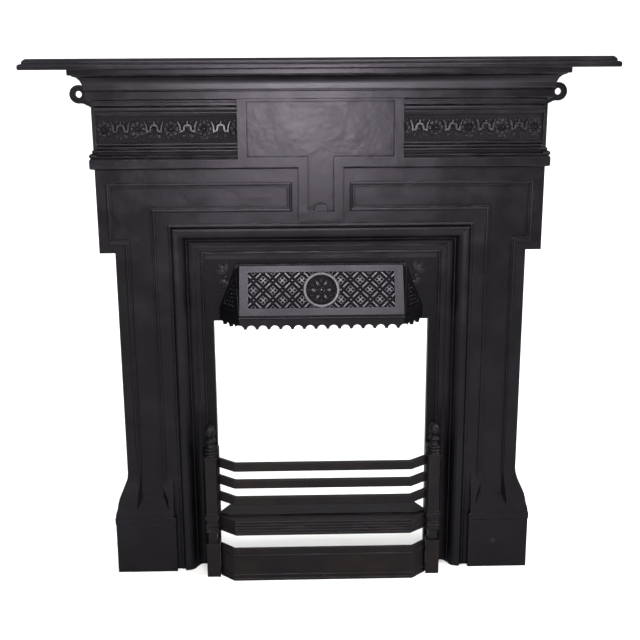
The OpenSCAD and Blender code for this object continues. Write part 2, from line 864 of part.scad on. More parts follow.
module ash_pan_cover() {
    end_x = post_half - post_width / 2 - 2.5 - seat_gap;
    front = face_y - bar_out - 2;
    end_y = face_y - post_out + 6;
    path = [[-end_x, end_y], [-bar_half - 6, front], [bar_half + 6, front], [end_x, end_y]];
    t = cover_thick;
    h = cover_height;
    color(iron)
    difference() {
        union() {
            mitred_run(path, concat(
                [[-t, 0], [-2, 0]],
                arc([-2, 4.5], [2, 2], -80, 80),
                arc([-2, 15], [2, 2], -80, 80),
                arc([-2, h - 18], [2, 2], -80, 80),
                arc([-4, h - 2], [2, 2], 0, 90),
                [[-t, h]]
            ));
            // Small pip on the lower border
            translate([0, front + 3, 9.5])
                rotate([90, 0, 0])
                    cylinder(d = 8, h = 3, $fn = 32);
        }
        // Clearance where the wings meet the posts
        both_sides()
            block([-end_x - 60, face_y - post_out - 20, -1], [-end_x, wall_y, h + 1]);
    }
}

mantel_shelf();
surround_casting();
hood();
front_grate();
ash_pan_cover();
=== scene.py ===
"""Cast-iron combination fireplace: relief, black-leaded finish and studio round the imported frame."""

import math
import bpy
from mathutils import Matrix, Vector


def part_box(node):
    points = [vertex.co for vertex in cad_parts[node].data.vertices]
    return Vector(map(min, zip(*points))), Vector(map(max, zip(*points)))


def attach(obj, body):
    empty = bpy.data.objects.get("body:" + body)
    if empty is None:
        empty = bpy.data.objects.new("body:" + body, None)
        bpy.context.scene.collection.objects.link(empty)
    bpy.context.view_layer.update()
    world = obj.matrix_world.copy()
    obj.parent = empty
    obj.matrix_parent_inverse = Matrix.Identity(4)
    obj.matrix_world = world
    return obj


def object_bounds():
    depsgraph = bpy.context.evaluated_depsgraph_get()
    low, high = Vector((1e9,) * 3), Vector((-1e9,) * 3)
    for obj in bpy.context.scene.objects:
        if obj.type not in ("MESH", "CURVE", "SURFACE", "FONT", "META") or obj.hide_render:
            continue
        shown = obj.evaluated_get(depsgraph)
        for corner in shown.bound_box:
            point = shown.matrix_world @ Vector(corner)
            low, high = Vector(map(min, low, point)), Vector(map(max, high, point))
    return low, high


bl_info = {
    "name": "Cast-Iron Fireplace",
    "version": (1, 0, 0),
    "blender": (4, 5, 0),
    "location": "View3D > Sidebar > Fireplace",
    "description": "Frieze ornament, hood lattice, iron finishes and studio for a combination fireplace",
    "category": "Object",
}

import bpy
from mathutils import Matrix, Vector

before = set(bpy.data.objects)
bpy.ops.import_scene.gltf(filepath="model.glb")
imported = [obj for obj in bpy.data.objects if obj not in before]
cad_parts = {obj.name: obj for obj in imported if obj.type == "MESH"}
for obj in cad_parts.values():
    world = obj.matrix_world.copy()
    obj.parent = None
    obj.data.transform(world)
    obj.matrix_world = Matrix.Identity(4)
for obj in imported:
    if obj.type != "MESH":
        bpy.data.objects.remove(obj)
CAD_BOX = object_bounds()
SURROUND_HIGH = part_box("surround_casting")[1]
HOOD_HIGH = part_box("hood")[1]
SHELF_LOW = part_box("mantel_shelf")[0]

MM = 0.001
# How far a shape's flat back goes into the ground that it stands on
BED = 0.4 * MM
# Clearance of the lattice and the leaves over their ground
LIFT = 0.2 * MM
# Smoothing angle of the hard-edged pieces, in degrees
CRISP = 30
# Where the polish is chipped off the right plinth
CHIP = (0.400, -0.008, 0.068)


# ---- Sizes and colours ----


def length(name, description, default):
    return bpy.props.FloatProperty(
        name=name, description=description, default=default, unit="LENGTH", precision=4
    )


def angle(name, description, default):
    return bpy.props.FloatProperty(name=name, description=description, default=default, subtype="ANGLE")


def colour(name, description, default):
    return bpy.props.FloatVectorProperty(
        name=name, description=description, default=linear(default), subtype="COLOR", size=4, min=0.0, max=1.0
    )


def linear(code):
    """An sRGB hex colour as linear RGBA."""
    parts = [int(code[i : i + 2], 16) / 255 for i in (1, 3, 5)]
    return tuple(p / 12.92 if p <= 0.04045 else ((p + 0.055) / 1.055) ** 2.4 for p in parts) + (1.0,)


class FriezeSettings(bpy.types.PropertyGroup):
    drop: length("Drop", "From the top of the casting down to the middle of the ornament", 0.124)
    sink: length("Sink", "Depth of the ornament's ground behind the jamb faces", 0.004)
    jamb_out: length("Jamb projection", "From the wall to the jamb faces", 0.080)
    field_start: length("Field start", "From the middle of the fireplace to the frieze field", 0.1765)
    field_end: length("Field end", "From the middle of the fireplace to the far end of the field", 0.4745)
    first_rosette: length("First rosette", "From the middle of the fireplace to the first rosette", 0.176)
    pitch: length("Pitch", "From rosette to rosette", 0.0705)
    rosette: length("Rosette", "Radius of a rosette", 0.0190)


class HoodSettings(bpy.types.PropertyGroup):
    break_drop: length("Break", "From the hood's top down to the foot of the slope", 0.103)
    slope_rise: length("Rise", "Height of the slope", 0.100)
    slope_run: length("Run", "Depth that the slope leans back", 0.053)
    front_out: length("Front", "From the jamb faces to the foot of the slope", 0.033)
    panel_half: length("Panel half width", "Half width of the lattice panel", 0.162)
    panel_low: length("Panel foot", "Up the slope to the panel's lower edge", 0.016)
    panel_high: length("Panel head", "Up the slope to the panel's upper edge", 0.0986)
    panel_sink: length("Panel sink", "Depth of the lattice panel", 0.004)
    lattice_x: length("Lattice pitch", "From diamond to diamond along a row", 0.0428)
    lattice_y: length("Lattice rows", "From one row of diamonds to the next", 0.0225)
    medallion: length("Medallion", "Outer radius of the medallion's ring", 0.0408)


class FinishSettings(bpy.types.PropertyGroup):
    black: colour("Black lead", "Graphite polish over the casting", "#1d1b1e")
    bloom: colour("Bloom", "Greyer patches where the polish has dulled", "#252327")
    # Used only as painted shade: in hollows, on sunk grounds, towards the hearth and on low up-facing slopes
    painted_shade_tone: colour("Soot", "Darker polish left in hollows", "#0c0b0d")
    # Also used for the painted highlight on the relief near the middle and along the foot of the cornice's
    # hollow
    bare: colour("Bare iron", "Iron that shows where edges are rubbed", "#5d5a5f")
    fire_black: colour("Fire black", "Heat-dulled polish of the grate", "#1b191b")
    scale: colour("Fire scale", "Brownish oxide on the grate", "#26211e")
    floor: colour("Floor", "Matt floor and backdrop", "#dfdfde")


class StageSettings(bpy.types.PropertyGroup):
    lens: bpy.props.FloatProperty(name="Lens", description="Focal length on a 36 mm sensor", default=56.96)
    camera_x: length("Camera across", "From the middle of the fireplace", -0.0527)
    camera_out: length("Camera distance", "From the jamb faces", 2.1795)
    camera_up: length("Camera height", "Above the hearth", 1.1714)
    pitch: angle("Pitch", "Downward tilt", 0.254574)
    yaw: angle("Yaw", "Turn to the right", 0.022558)
    roll: angle("Roll", "Turn about the line of sight", 0.0056515)


# ---- Modelling by hand, in steps ----


def deselect():
    if bpy.context.object and bpy.context.object.mode != "OBJECT":
        bpy.ops.object.mode_set(mode="OBJECT")
    bpy.ops.object.select_all(action="DESELECT")


def pick(*objects):
    deselect()
    for o in objects:
        o.select_set(True)
    bpy.context.view_layer.objects.active = objects[0]
    return objects[0]


def made(name):
    """The primitive just added, named, with its turn and scale in its mesh."""
    o = bpy.context.object
    o.name = o.data.name = name
    bpy.ops.object.transform_apply(location=True, rotation=True, scale=True)
    return o


def edit(o, part, test):
    """Leaves o in edit mode with the corners, edges or faces that pass the test selected."""
    pick(o)
    bpy.ops.object.mode_set(mode="EDIT")
    bpy.ops.mesh.select_mode(type=part)
    bpy.ops.mesh.select_all(action="DESELECT")
    bpy.ops.object.mode_set(mode="OBJECT")
    mesh = o.data
    if part == "VERT":
        for v in mesh.vertices:
            v.select = test(v.co)
    elif part == "EDGE":
        for e in mesh.edges:
            e.select = test(*[mesh.vertices[i].co for i in e.vertices])
    else:
        for f in mesh.polygons:
            f.select = test(f.center, f.normal)
    bpy.ops.object.mode_set(mode="EDIT")


def edit_all(o):
    pick(o)
    bpy.ops.object.mode_set(mode="EDIT")
    bpy.ops.mesh.select_mode(type="VERT")
    bpy.ops.mesh.select_all(action="SELECT")


def done():
    bpy.ops.object.mode_set(mode="OBJECT")


def flat_back(o):
    """Cuts a shape off flat where it meets its ground, so that it closes just behind it."""
    edit_all(o)
    bpy.ops.mesh.bisect(plane_co=(0, 0, -BED), plane_no=(0, 0, 1), use_fill=True, clear_inner=True)
    done()
    return o


def modify(o, kind, **settings):
    pick(o)
    m = o.modifiers.new(kind.title(), kind)
    for k, v in settings.items():
        setattr(m, k, v)
    bpy.ops.object.modifier_apply(modifier=m.name)


def copies(source, places):
    """Copies of a shape, each with its own mesh, at each matrix. The source is used up."""
    out = []
    for place in places:
        pick(source)
        bpy.ops.object.duplicate(linked=False)
        c = bpy.context.object
        c.matrix_world = place @ c.matrix_world
        out.append(c)
    bpy.data.objects.remove(source)
    return out


def merged(name, parts, place=None):
    """Joins shapes into one and bakes its place into its mesh."""
    o = pick(*parts)
    if len(parts) > 1:
        bpy.ops.object.join()
    o.name = o.data.name = name
    if place is not None:
        o.matrix_world = place @ o.matrix_world
    pick(o)
    bpy.ops.object.transform_apply(location=True, rotation=True, scale=True)
    return o


def face_outward(o):
    """Turns every face of a closed shape outwards."""
    edit_all(o)
    bpy.ops.mesh.normals_make_consistent(inside=False)
    done()


def settle(o, slot, smooth=38):
    """Finishes a piece: outward faces, smooth shading but for its arrises, slot and body."""
    face_outward(o)
    pick(o)
    bpy.ops.object.shade_smooth_by_angle(angle=math.radians(smooth))
    o.data.materials.clear()
    o.data.materials.append(material(slot))
    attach(o, "root")


def at(x, y, turn=0.0):
    """A place on the ground, and a turn there."""
    return Matrix.Translation((x, y, 0)) @ Matrix.Rotation(turn, 4, "Z")


def fan(count, radius, first=0.0):
    """Places round a circle, each facing out, the first turned by a share of a step."""
    return [Matrix.Rotation(math.tau * (k + first) / count, 4, "Z") @ at(radius, 0) for k in range(count)]


def leaf(name, long, wide, high, tip=0.55, vein=0.35):
    """A cast leaf along +X from the origin: pointed, domed and grooved along its vein."""
    deselect()
    bpy.ops.mesh.primitive_uv_sphere_add(
        segments=12, ring_count=8, radius=0.5, location=(long / 2, 0, 0), rotation=(0, math.pi / 2, 0)
    )
    bpy.context.object.scale = (high * 2, wide, long)
    o = made(name)
    edit(o, "VERT", lambda v: v.x > long * 0.6)
    bpy.ops.transform.resize(value=(1, tip, 0.8), center_override=(long, 0, 0))
    edit(o, "VERT", lambda v: abs(v.y) < wide * 0.06 and v.z > 0 and long * 0.06 < v.x < long * 0.94)
    bpy.ops.transform.translate(value=(0, 0, -high * vein))
    done()
    return flat_back(o)


def boss(name, radius, high):
    """A small domed boss with a step round its foot."""
    deselect()
    bpy.ops.mesh.primitive_uv_sphere_add(segments=12, ring_count=8, radius=radius, location=(0, 0, 0))
    bpy.context.object.scale = (1, 1, high / radius)
    o = made(name)
    edit(o, "VERT", lambda v: abs(v.z) < high * 0.2)
    bpy.ops.transform.resize(value=(1.12, 1.12, 1), center_override=(0, 0, 0))
    edit_all(o)
    bpy.ops.mesh.bisect(plane_co=(0, 0, high * 0.8), plane_no=(0, 0, 1), use_fill=True, clear_outer=True)
    done()
    return flat_back(o)


def ring(name, radius, thick, high, around=32):
    """A raised ring with a flattened crown."""
    deselect()
    bpy.ops.mesh.primitive_torus_add(
        major_radius=radius, minor_radius=thick, major_segments=around, minor_segments=8, location=(0, 0, 0)
    )
    bpy.context.object.scale = (1, 1, high / thick)
    o = made(name)
    edit(o, "VERT", lambda v: v.z > high * 0.6)
    bpy.ops.transform.resize(value=(1, 1, 0.9), center_override=(0, 0, 0))
    done()
    return flat_back(o)


def band(name, radius, wide, high):
    """A flat ring with chamfered arrises."""
    deselect()
    bpy.ops.mesh.primitive_circle_add(vertices=64, radius=radius, location=(0, 0, 0))
    o = made(name)
    edit_all(o)
    bpy.ops.mesh.extrude_edges_move()
    bpy.ops.transform.resize(value=((radius - wide) / radius,) * 3, center_override=(0, 0, 0))
    done()
    modify(o, "SOLIDIFY", thickness=high, offset=0.0)
    face_outward(o)
    modify(o, "BEVEL", width=wide * 0.14, segments=2, limit_method="ANGLE", angle_limit=math.radians(50))
    return merged(name, [o], Matrix.Translation((0, 0, high / 2 - BED)))


def scroll(name, points, radius, tips=(1.0, 1.0)):
    """A tapering cast stem through five points on the ground."""
    deselect()
    bpy.ops.curve.primitive_nurbs_path_add(location=(0, 0, 0))
    c = bpy.context.object
    line = c.data.splines[0]
    for i, p in enumerate(points):
        line.points[i].co = (p[0], p[1], 0.0, 1.0)
        line.points[i].radius = tips[0] + (tips[1] - tips[0]) * i / 4
    line.order_u = 3
    c.data.resolution_u = 3
    c.data.bevel_depth = radius
    c.data.bevel_resolution = 1
    c.data.use_fill_caps = True
    bpy.ops.object.convert(target="MESH")
    o = made(name)
    edit_all(o)
    bpy.ops.mesh.remove_doubles(threshold=0.00001)
    bpy.ops.mesh.normals_make_consistent(inside=False)
    bpy.ops.mesh.bisect(plane_co=(0, 0, radius * 0.45), plane_no=(0, 0, 1), use_fill=True, clear_outer=True)
    done()
    return flat_back(o)


# ---- Finishes ----


def node(tree, kind, inputs, **settings):
    """Adds one node with its settings, and links or values for its inputs. Gives its outputs."""
    n = tree.nodes.new("ShaderNode" + kind)
    for key, value in settings.items():
        setattr(n, key, value)
    for key, value in inputs.items():
        if isinstance(value, bpy.types.NodeSocket):
            tree.links.new(value, n.inputs[key])
        else:
            n.inputs[key].default_value = value
    return n.outputs


def mask(tree, limits, full=1.0):
    """Full where each value is past its second limit, fading to nothing at its first."""
    for value, nothing, whole in limits:
        full = node(tree, "MapRange", {0: value, 1: nothing, 2: whole, 4: full})[0]
    return full


def between(value, low, high, edge=0.4 * MM):
    """The limits of a mask that holds from low to high and fades over an edge outside them."""
    return [(value, low - edge, low), (value, high + edge, high)]


def place_of(tree):
    """Object coordinates, the distance from the middle plane, and the depth and height."""
    where = node(tree, "TexCoord", {})["Object"]
    across, depth, height = node(tree, "SeparateXYZ", {0: where})
    side = node(tree, "Math", {0: across}, operation="ABSOLUTE")[0]
    return where, side, depth, height


def frieze_masks(tree, side, depth, height):
    """The frieze's sunk grounds, and the front of the ornament that stands on them."""
    sizes = bpy.context.scene.fireplace_frieze
    ground = SURROUND_HIGH.y - sizes.jamb_out + sizes.sink
    middle = SURROUND_HIGH.z - sizes.drop
    field = between(side, sizes.field_start - MM, sizes.field_end + MM)
    field += between(height, middle - 28 * MM, middle + 29 * MM)
    return (
        mask(tree, field + between(depth, ground - 0.6 * MM, ground + MM)),
        mask(tree, field + between(depth, ground - 7 * MM, ground - 3 * MM)),
    )


def hood_masks(tree, where, side):
    """The hood's sunk panel, and the face of the lattice that stands in it."""
    sizes = bpy.context.scene.fireplace_hood
    tilt = math.atan2(sizes.slope_run, sizes.slope_rise)
    out = Vector((0, -math.cos(tilt), math.sin(tilt)))
    up = Vector((0, math.sin(tilt), math.cos(tilt)))
    foot = on_slope(0, 0).translation
    level = foot.dot(out) - sizes.panel_sink
    low, high = foot.dot(up) + sizes.panel_low, foot.dot(up) + sizes.panel_high
    stand, climb = [
        node(tree, "VectorMath", {0: where, 1: axis}, operation="DOT_PRODUCT")["Value"] for axis in (out, up)
    ]
    panel = between(climb, low - 0.5 * MM, high + 0.5 * MM)
    panel.append((side, sizes.panel_half + 0.9 * MM, sizes.panel_half + 0.5 * MM))
    return (
        mask(tree, panel + between(stand, level - MM, level + 0.6 * MM)),
        mask(tree, panel + between(stand, level + 2.2 * MM, level + 5.2 * MM)),
    )


def panel_masks(tree, where, side, depth, height):
    """1 on the sunk grounds, which no brush reaches and which are darkened as painted shade, and 1 on the
    relief that stands in them, which is lightened as a painted highlight.
    """
    frieze, ornament = frieze_masks(tree, side, depth, height)
    hood, lattice = hood_masks(tree, where, side)
    # The register plate, round the hood and down both sides of the fire
    plate = between(depth, HOOD_HIGH.y - 0.6 * MM, HOOD_HIGH.y + 10 * MM)
    plate.append((side, HOOD_HIGH.x + 30 * MM, HOOD_HIGH.x + 28 * MM))
    plate.append((height, HOOD_HIGH.z + 12 * MM, HOOD_HIGH.z + 10 * MM))
    sunk = mask(tree, plate, 0.9)
    for ground in (frieze, hood):
        sunk = node(tree, "Math", {0: sunk, 1: ground}, operation="MAXIMUM")[0]
    return sunk, node(tree, "Math", {0: ornament, 1: lattice}, operation="MAXIMUM")[0]


def casting_noise(tree, where, sand_mm):
    """The uneven patterns of a polished sand casting, each with its size in millimetres."""
    # Strokes of the polishing brush are drawn out along the mouldings
    strokes = node(tree, "Mapping", {"Vector": where, "Scale": (0.25, 1.0, 1.0)})[0]
    # Moulding sand is near 0.4 mm, and is drawn three or four times as coarse to show
    noise = {}
    for key, vector, size_mm, detail, rough in (
        ("patches", where, 85.0, 5.0, 0.6),
        ("smears", strokes, 9.0, 4.0, 0.6),
        ("sand", where, sand_mm, 2.0, 0.55),
        ("dents", where, 14.0, 3.0, 0.55),
        ("waves", where, 42.0, 2.0, 0.55),
        ("pits", where, 3.0, 2.0, 0.55),
    ):
        inputs = {"Vector": vector, "Scale": 1 / (size_mm * MM), "Detail": detail, "Roughness": rough}
        noise[key] = node(tree, "TexNoise", inputs)["Fac"]
    return noise


# Grey cast iron, sand-moulded and black-leaded: the graphite polish gives a dark, slightly violet
# metal with a satin sheen, bare on rubbed arrises, over the fine pimple of the sand; painted shade
# darkens its hollows, sunk grounds and lower parts, and painted highlights lighten the relief and the
# cornice's hollow
def black_leaded_iron(name, base, dulled, sand_mm, sheen, dust_and_shade):
    finish = bpy.context.scene.fireplace_finish
    finished = bpy.data.materials.new(name)
    finished.use_nodes = True
    tree = finished.node_tree
    tree.nodes.clear()
    where, side, depth, height = place_of(tree)
    noise = casting_noise(tree, where, sand_mm)
    smears = noise["smears"]

    # Dulled patches about a hand wide, broken up by the smears
    dull_limits = [(noise["patches"], 0.42, 0.68)]
    broken = node(tree, "MapRange", {0: smears, 1: 0.35, 2: 0.65, 3: 0.55, 4: 1.0})[0]
    # Painted shade darkens the hollows; arrises within about a millimetre are rubbed
    open_sky = node(tree, "AmbientOcclusion", {"Distance": 5.5 * MM}, samples=10)["AO"]
    soft = node(tree, "Bevel", {"Radius": 1.3 * MM}, samples=4)[0]
    true = node(tree, "NewGeometry", {})["True Normal"]
    turn = node(tree, "VectorMath", {0: soft, 1: true}, operation="DOT_PRODUCT")["Value"]
    rubbed = mask(tree, [(turn, 0.985, 0.86), (smears, 0.44, 0.62)], 0.55)
    from_chip = node(tree, "VectorMath", {0: where, 1: CHIP}, operation="DISTANCE")["Value"]
    chip = mask(tree, [(from_chip, 8 * MM, 2 * MM), (smears, 0.42, 0.6)], 0.35)
    bare = node(tree, "Math", {0: rubbed, 1: chip}, operation="MAXIMUM")[0]
    # Painted shade darkens the sunk grounds, which no brush reaches; a painted highlight lightens the relief,
    # brightest near the middle
    ground, raised = panel_masks(tree, where, side, depth, height)
    ground_shade = node(tree, "Math", {0: ground, 1: 0.6}, operation="MULTIPLY")[0]
    # Painted highlight on the relief, strongest near the middle and fading outwards
    polish = node(tree, "MapRange", {0: side, 1: 0.18, 2: 0.46, 3: 0.36, 4: 0.07})[0]
    relief_highlight = node(tree, "Math", {0: raised, 1: polish}, operation="MULTIPLY")[0]
    # A painted highlight along the foot of the cornice's hollow, fading away from the middle
    hollow_foot = between(height, SHELF_LOW.z - 39.5 * MM, SHELF_LOW.z - 30 * MM, 5 * MM)
    cornice_highlight = mask(tree, hollow_foot + [(side, 0.52, 0.10)], 0.55)
    # Painted shade, darker towards the hearth and on the upward-facing slopes low down
    rise = node(tree, "SeparateXYZ", {0: true})[2]
    slope_limits = [(rise, 0.2, 0.4), (height, 0.42, 0.36)]
    tone = base
    for share, coat in (
        (mask(tree, dull_limits, broken), dulled),
        # Painted shade in the hollows
        (mask(tree, [(open_sky, 0.93, 0.50)], 0.85), finish.painted_shade_tone),
        (bare, finish.bare),
        (ground_shade, finish.painted_shade_tone),
        (relief_highlight, finish.bare),
        (cornice_highlight, finish.bare),
        # Painted shade towards the hearth
        (mask(tree, [(height, 0.95, 0.55)], 0.38 + 0.22 * dust_and_shade), finish.painted_shade_tone),
        # Painted shade on the upward-facing slopes low down
        (mask(tree, slope_limits, 0.7 * dust_and_shade), finish.painted_shade_tone),
    ):
        tone = node(tree, "Mix", {0: share, 6: tone, 7: coat}, data_type="RGBA")[2]

    # Sand grain, the slow waviness of a large thin casting, more of it on the tablet, and the
    # stippled grounds
    tablet = between(height, SHELF_LOW.z - 183 * MM, SHELF_LOW.z - 68 * MM, 8 * MM) + [(side, 0.170, 0.160)]
    wavy = node(tree, "MapRange", {0: mask(tree, tablet), 3: 0.25, 4: 0.75})[0]
    pitted = node(tree, "Math", {0: ground, 1: 0.9}, operation="MULTIPLY")[0]
    normal = soft
    relief = (("sand", 0.4, 0.14), ("dents", 0.6, 0.5), ("waves", wavy, 1.8), ("pits", pitted, 1.6))
    for key, strength, high_mm in relief:
        inputs = {"Height": noise[key], "Normal": normal, "Strength": strength, "Distance": high_mm * MM}
        normal = node(tree, "Bump", inputs)[0]

    # The polish thins out towards the hearth and on the dusty slopes low down, and never gets into the sunk
    # grounds
    uneven = node(tree, "Math", {0: smears, 1: 0.6, 2: mask(tree, dull_limits)}, operation="MULTIPLY_ADD")[0]
    rough = node(tree, "MapRange", {0: uneven, 1: 0.2, 2: 1.3, 3: sheen, 4: sheen + 0.10})[0]
    for share, more in (
        (mask(tree, [(height, 0.75, 0.15)]), 0.12),
        (ground, 0.30),
        (mask(tree, slope_limits, dust_and_shade), 0.2),
    ):
        rough = node(tree, "Math", {0: share, 1: more, 2: rough}, operation="MULTIPLY_ADD", use_clamp=True)[0]
    # Rough graphite throws back less at a glancing angle than clean metal does
    shine = {"Metallic": 0.8, "Specular Tint": (0.45, 0.45, 0.46, 1.0), "Specular IOR Level": 0.3}
    inputs = {"Base Color": tone, "Roughness": rough, "Normal": normal, **shine}
    shader = node(tree, "BsdfPrincipled", inputs)[0]
    node(tree, "OutputMaterial", {"Surface": shader})
    return finished


# Matt painted board: even, pale and without gloss, with the faint cloudiness of a rolled coat
def studio_paint():
    finish = bpy.context.scene.fireplace_finish
    finished = bpy.data.materials.new("studio_paint")
    finished.use_nodes = True
    tree = finished.node_tree
    tree.nodes.clear()
    where = node(tree, "TexCoord", {})["Object"]
    inputs = {"Vector": where, "Scale": 1 / 0.9, "Detail": 2.0, "Roughness": 0.55}
    cloud = node(tree, "TexNoise", inputs)["Fac"]
    darker = [c * 0.97 for c in finish.floor[:3]] + [1.0]
    tone = node(tree, "Mix", {0: cloud, 6: finish.floor, 7: darker}, data_type="RGBA")[2]
    inputs = {"Base Color": tone, "Roughness": 0.95, "Specular IOR Level": 0.1}
    shader = node(tree, "BsdfPrincipled", inputs)[0]
    node(tree, "OutputMaterial", {"Surface": shader})
    return finished


def material(slot):
    name = "black_leaded_" + slot
    if name in bpy.data.materials:
        return bpy.data.materials[name]
    finish = bpy.context.scene.fireplace_finish
    if slot == "fireside_iron":
        return black_leaded_iron(name, finish.fire_black, finish.scale, sand_mm=1.6, sheen=0.34, dust_and_shade=0.0)
    return black_leaded_iron(name, finish.black, finish.bloom, sand_mm=1.3, sheen=0.28, dust_and_shade=1.0)


# ---- Places ----


def on_frieze(x):
    """Stands a shape that faces +Z on the frieze's ground, facing the room."""
    sizes = bpy.context.scene.fireplace_frieze
    ground = SURROUND_HIGH.y - sizes.jamb_out + sizes.sink
    middle = SURROUND_HIGH.z - sizes.drop
    return Matrix.Translation((x, ground, middle)) @ Matrix.Rotation(math.pi / 2, 4, "X")


def on_slope(x, up, out=0.0):
    """Lays a shape that faces +Z on the hood's sloping front."""
    sizes = bpy.context.scene.fireplace_hood
    tilt = math.pi / 2 - math.atan2(sizes.slope_run, sizes.slope_rise)
    face = SURROUND_HIGH.y - bpy.context.scene.fireplace_frieze.jamb_out
    foot = Vector((0, face - sizes.front_out, HOOD_HIGH.z - sizes.break_drop))
    return Matrix.Translation(foot) @ Matrix.Rotation(tilt, 4, "X") @ Matrix.Translation((x, up, out))


# ---- Frieze ----


def rosette(radius):
    """Eight veined petals round a deep hollow with a pip in it, and eight small sepals between them."""
    petal = leaf("petal", radius * 0.60, radius * 0.50, radius * 0.08, tip=0.95, vein=0.6)
    petals = copies(petal, fan(8, radius * 0.40))
    sepal = leaf("sepal", radius * 0.22, radius * 0.2, radius * 0.08)
    sepals = copies(sepal, fan(8, radius * 0.84, 0.5))
    eye = ring("eye", radius * 0.38, radius * 0.06, radius * 0.15, 20)
    pip = boss("pip", radius * 0.12, radius * 0.20)
    return petals + sepals + [eye, pip]


def trimmed(shapes, side, x):
    """Sets shapes at a place along the frieze, and cuts them off flat at the ends of its field."""
    sizes = bpy.context.scene.fireplace_frieze
    kept = []
    for o in shapes:
        merged(o.name, [o], Matrix.Translation((side * x, 0, 0)))
        for end, outer in ((sizes.field_start, False), (sizes.field_end, True)):
            edit_all(o)
            bpy.ops.mesh.bisect(
                plane_co=(side * end, 0, 0), plane_no=(side, 0, 0), use_fill=True,
                clear_inner=not outer, clear_outer=outer,
            )
            done()
        if o.data.polygons:
            kept.append(o)
        else:
            bpy.data.objects.remove(o)
    return kept


def crown():
    """Arch over a sunk eye, with a spike, side bars and flared horns, above hanging leaves."""
    even, fading = (1.0, 1.0), (1.0, 0.6)
    straps = [
        ("arch", [(-7.5, -4), (-8, 7), (0, 9), (8, 7), (7.5, -4)], 2.7, even),
        ("spike", [(0, 7), (0, 9), (0, 12), (0, 15), (0, 17)], 2.2, (1.1, 0.6)),
    ]
    for side in (-1, 1):
        horn = [(14, -7), (15.5, -4), (15.5, 4), (17, 10), (20.5, 16)]
        straps.append(("bar", [(side * x, -4) for x in (7, 9, 11, 13, 15)], 2.7, even))
        straps.append(("horn", [(side * x, y) for x, y in horn], 2.8, fading))
    parts = [
        scroll(name, [(x * MM, y * MM) for x, y in points], thick * MM, tips)
        for name, points, thick, tips in straps
    ]
    parts.insert(2, ring("eye", 3.6 * MM, 0.9 * MM, 0.6 * MM, 16))
    for part in parts:
        # Straps stand well up from the ground, with a flat back that catches the light
        edit(part, "VERT", lambda v: v.z > 0.3 * MM)
        bpy.ops.transform.resize(value=(1, 1, 3.0), center_override=(0, 0, 0))
        done()
    swag = leaf("swag", 17 * MM, 7 * MM, 1.3 * MM, vein=0.6)
    drop = leaf("drop", 12 * MM, 6 * MM, 1.3 * MM, vein=0.6)
    tuft = leaf("tuft", 9 * MM, 4 * MM, 1.2 * MM)
    swags = [at(2.5 * MM, -12 * MM, math.radians(-22)), at(-2.5 * MM, -12 * MM, math.radians(202))]
    tufts = [at(side * 6 * MM, 12 * MM, math.radians(90 - side * 28)) for side in (-1, 1)]
    parts += copies(swag, swags)
    parts += copies(drop, [at(0, -14 * MM, math.radians(-90))])
    parts += copies(tuft, tufts)
    return merged("crown", parts)


class FIREPLACE_OT_frieze(bpy.types.Operator):
    """Rosettes and crowns of the two frieze panels, cut off where the tablet's frame hides them"""

    bl_idname = "fireplace.frieze"
    bl_label = "Frieze Ornament"

    def execute(self, context):
        sizes = context.scene.fireplace_frieze
        rosettes = 5
        for side, name in ((-1, "frieze_ornament_left"), (1, "frieze_ornament_right")):
            centres = [sizes.first_rosette + sizes.pitch * k for k in range(rosettes)]
            midways = [sizes.first_rosette + sizes.pitch * (k + 0.5) for k in range(rosettes - 1)]
            whole = merged("rosette", rosette(sizes.rosette))
            flowers = copies(whole, [Matrix.Translation((side * x, 0, 0)) for x in centres[1:-1]])
            for x in (centres[0], centres[-1]):
                flowers += trimmed(rosette(sizes.rosette), side, x)
            crowns = copies(crown(), [Matrix.Translation((side * x, 0, 0)) for x in midways])
            under = leaf("under", 13 * MM, 6 * MM, 1.2 * MM, vein=0.6)
            spread = [
                at(side * x, -21.5 * MM, math.radians(90 + lean))
                for x in centres[1:] for lean in (-62, 62)
            ]
            parts = flowers + crowns + copies(under, spread)
            o = merged(name, parts, on_frieze(0))
            settle(o, "blacked_iron")
        return {"FINISHED"}


# ---- Hood ----


def diamond(half):
    """A square frame on its corner with a cross in it, which leaves four small eyes."""
    deselect()
    bpy.ops.mesh.primitive_grid_add(
        x_subdivisions=2, y_subdivisions=2, size=half * math.sqrt(2),
        rotation=(0, 0, math.pi / 4), location=(0, 0, 0),
    )
    o = made("diamond")
    edit(o, "FACE", lambda c, n: True)
    bpy.ops.mesh.inset(thickness=half * 0.12, use_individual=True)
    bpy.ops.mesh.delete(type="FACE")
    done()
    modify(o, "SOLIDIFY", thickness=2.6 * MM, offset=1.0)
    face_outward(o)
    edit(o, "VERT", lambda v: v.z > 2 * MM)
    bpy.ops.transform.resize(value=(0.97, 0.97, 1), center_override=(0, 0, 0))
    done()
    return o


def strap(long, wide):
    """A short bar with a raised, chamfered back."""
    high, crown_high = 3 * MM, 0.8 * MM
    deselect()
    bpy.ops.mesh.primitive_cube_add(size=1, location=(0, 0, high / 2))
    bpy.context.object.scale = (long, wide, high)
    o = made("strap")
    edit(o, "FACE", lambda c, n: n.z > 0.9)
    bpy.ops.mesh.inset(thickness=wide * 0.22)
    bpy.ops.transform.translate(value=(0, 0, crown_high))
    done()
    return o


